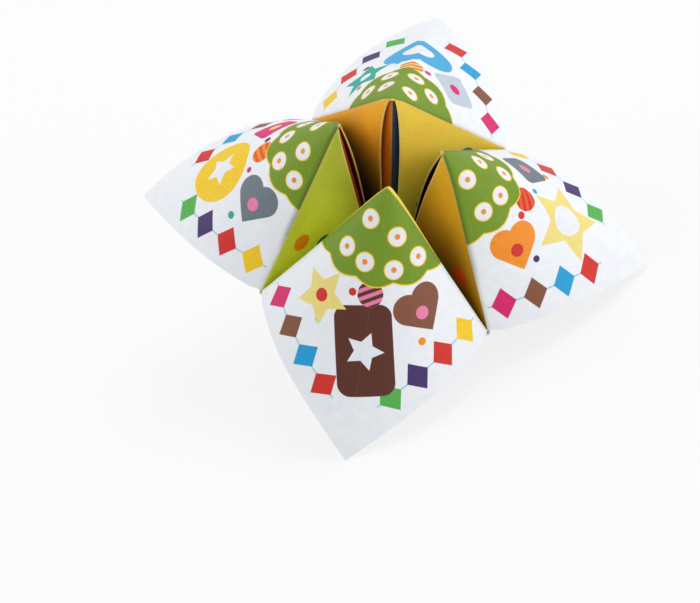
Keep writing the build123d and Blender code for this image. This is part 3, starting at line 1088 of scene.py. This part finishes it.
class FORTUNE_OT_folded_sheet(bpy.types.Operator):
    """Models the printed sheet, folded and opened out"""

    bl_idname = "fortune.folded_sheet"
    bl_label = "Folded sheet"

    def execute(self, context):
        sizes = context.scene.fold_sizes
        nothing_selected()
        flap_papers = {name: print_material("flap", name, flap_print, True, round_hinges=True)
                       for name in FLAPS}
        inner_papers = {kind: print_material("inner", kind, inner_print, True)
                        for kind in INNER_ROWS}
        base_papers = {kind: print_material("base", kind, base_print, False)
                       for kind in ("chestnut", "coal", "navy", "russet")}
        sheet, feet, tips = model_folded_sheet(sizes, flap_papers, inner_papers, base_papers)
        sheet.data.materials.append(blank_material())
        thicken(sheet, sizes)
        blunt_tips(sheet, tips, sizes.tip_wear)
        draw_tip_out(sheet, tips, sizes.front_stretch, sizes.front_flat)
        lean_tip(sheet, tips, sizes.right_lean)
        lay_down(sheet, feet)
        bpy.ops.object.shade_smooth_by_angle(angle=radians(34))
        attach(sheet, "root")
        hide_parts("folded_sheet")
        return {"FINISHED"}


class FORTUNE_OT_stage(bpy.types.Operator):
    """Adds the floor, the lamps and the camera"""

    bl_idname = "fortune.stage"
    bl_label = "Stage"

    def execute(self, context):
        settings = context.scene.stage_settings
        nothing_selected()
        add_floor(settings)
        add_lamp("key", (0.50, 0.10, 0.86), 0.55, settings.key_power)
        add_lamp("window", (-0.62, 0.48, 0.62), 0.45, settings.window_power)
        add_lamp("front", (0.56, -0.86, 0.21), 0.40, settings.fill_power)
        add_room_light(settings)
        add_camera(settings)
        context.scene.view_settings.view_transform = "Standard"
        return {"FINISHED"}


def add_floor(settings):
    """A wide plain floor. The camera sees it nearly white, with the object's shadow on it."""
    bpy.ops.mesh.primitive_circle_add(vertices=96, radius=4, fill_type="NGON")
    floor = bpy.context.object
    floor.name = "floor"
    graph = Graph(bpy.data.materials.new("floor"))
    plain = graph.node("ShaderNodeBsdfDiffuse", {"Color": seen(settings.floor_colour)})
    bright = graph.node("ShaderNodeEmission", {"Color": (1, 1, 1, 1), "Strength": 1.0})
    graph.show_to_camera(plain, bright, 0.78)
    floor.data.materials.append(graph.owner)


def add_lamp(name, place, size, power):
    """A square lamp that points at the object."""
    bpy.ops.object.light_add(type="AREA", location=place)
    lamp = bpy.context.object
    lamp.name = name
    lamp.data.size = size
    lamp.data.energy = power
    lamp.rotation_mode = "QUATERNION"
    lamp.rotation_quaternion = (-Vector(place)).to_track_quat("-Z", "Y")


def add_room_light(settings):
    """Even light from all round, which the camera sees as white."""
    graph = Graph(bpy.data.worlds.new("room"))
    even = graph.node("ShaderNodeBackground", {
        "Color": (0.95, 0.975, 1, 1), "Strength": settings.sky})
    white = graph.node("ShaderNodeBackground", {"Color": (1, 1, 1, 1)})
    graph.show_to_camera(even, white, 1.0, "ShaderNodeOutputWorld")
    bpy.context.scene.world = graph.owner


def add_camera(settings):
    a, e = settings.azimuth, settings.elevation
    back = Vector((sin(a) * cos(e), -cos(a) * cos(e), sin(e)))
    right = Vector((cos(a), sin(a), 0))
    level = Matrix((right, back.cross(right), back)).transposed()
    bpy.ops.object.camera_add(location=Vector(settings.aim) + back * settings.distance)
    camera = bpy.context.object
    camera.name = "camera"
    camera.rotation_mode = "QUATERNION"
    camera.rotation_quaternion = (level @ Matrix.Rotation(settings.roll, 3, "Z")).to_quaternion()
    camera.data.sensor_width = 36
    camera.data.lens = settings.lens
    bpy.context.scene.camera = camera


class FORTUNE_PT_panel(bpy.types.Panel):
    """Sizes, colours and steps of the paper fortune teller"""

    bl_idname = "FORTUNE_PT_panel"
    bl_label = "Fortune teller"
    bl_space_type = "VIEW_3D"
    bl_region_type = "UI"
    bl_category = "Fortune teller"

    def draw(self, context):
        layout = self.layout
        for group in (context.scene.fold_sizes, context.scene.print_colours,
                      context.scene.stage_settings):
            box = layout.box()
            for name in group.__annotations__:
                box.prop(group, name)
        layout.operator(FORTUNE_OT_folded_sheet.bl_idname)
        layout.operator(FORTUNE_OT_stage.bl_idname)


CLASSES = (FoldSizes, PrintColours, StageSettings, FORTUNE_OT_folded_sheet, FORTUNE_OT_stage,
           FORTUNE_PT_panel)


def register():
    for each in CLASSES:
        bpy.utils.register_class(each)
    bpy.types.Scene.fold_sizes = PointerProperty(type=FoldSizes)
    bpy.types.Scene.print_colours = PointerProperty(type=PrintColours)
    bpy.types.Scene.stage_settings = PointerProperty(type=StageSettings)


def unregister():
    del bpy.types.Scene.fold_sizes
    del bpy.types.Scene.print_colours
    del bpy.types.Scene.stage_settings
    for each in reversed(CLASSES):
        bpy.utils.unregister_class(each)


def main():
    register()
    bpy.ops.fortune.folded_sheet()
    bpy.ops.fortune.stage()


if __name__ == "__main__":
    main()
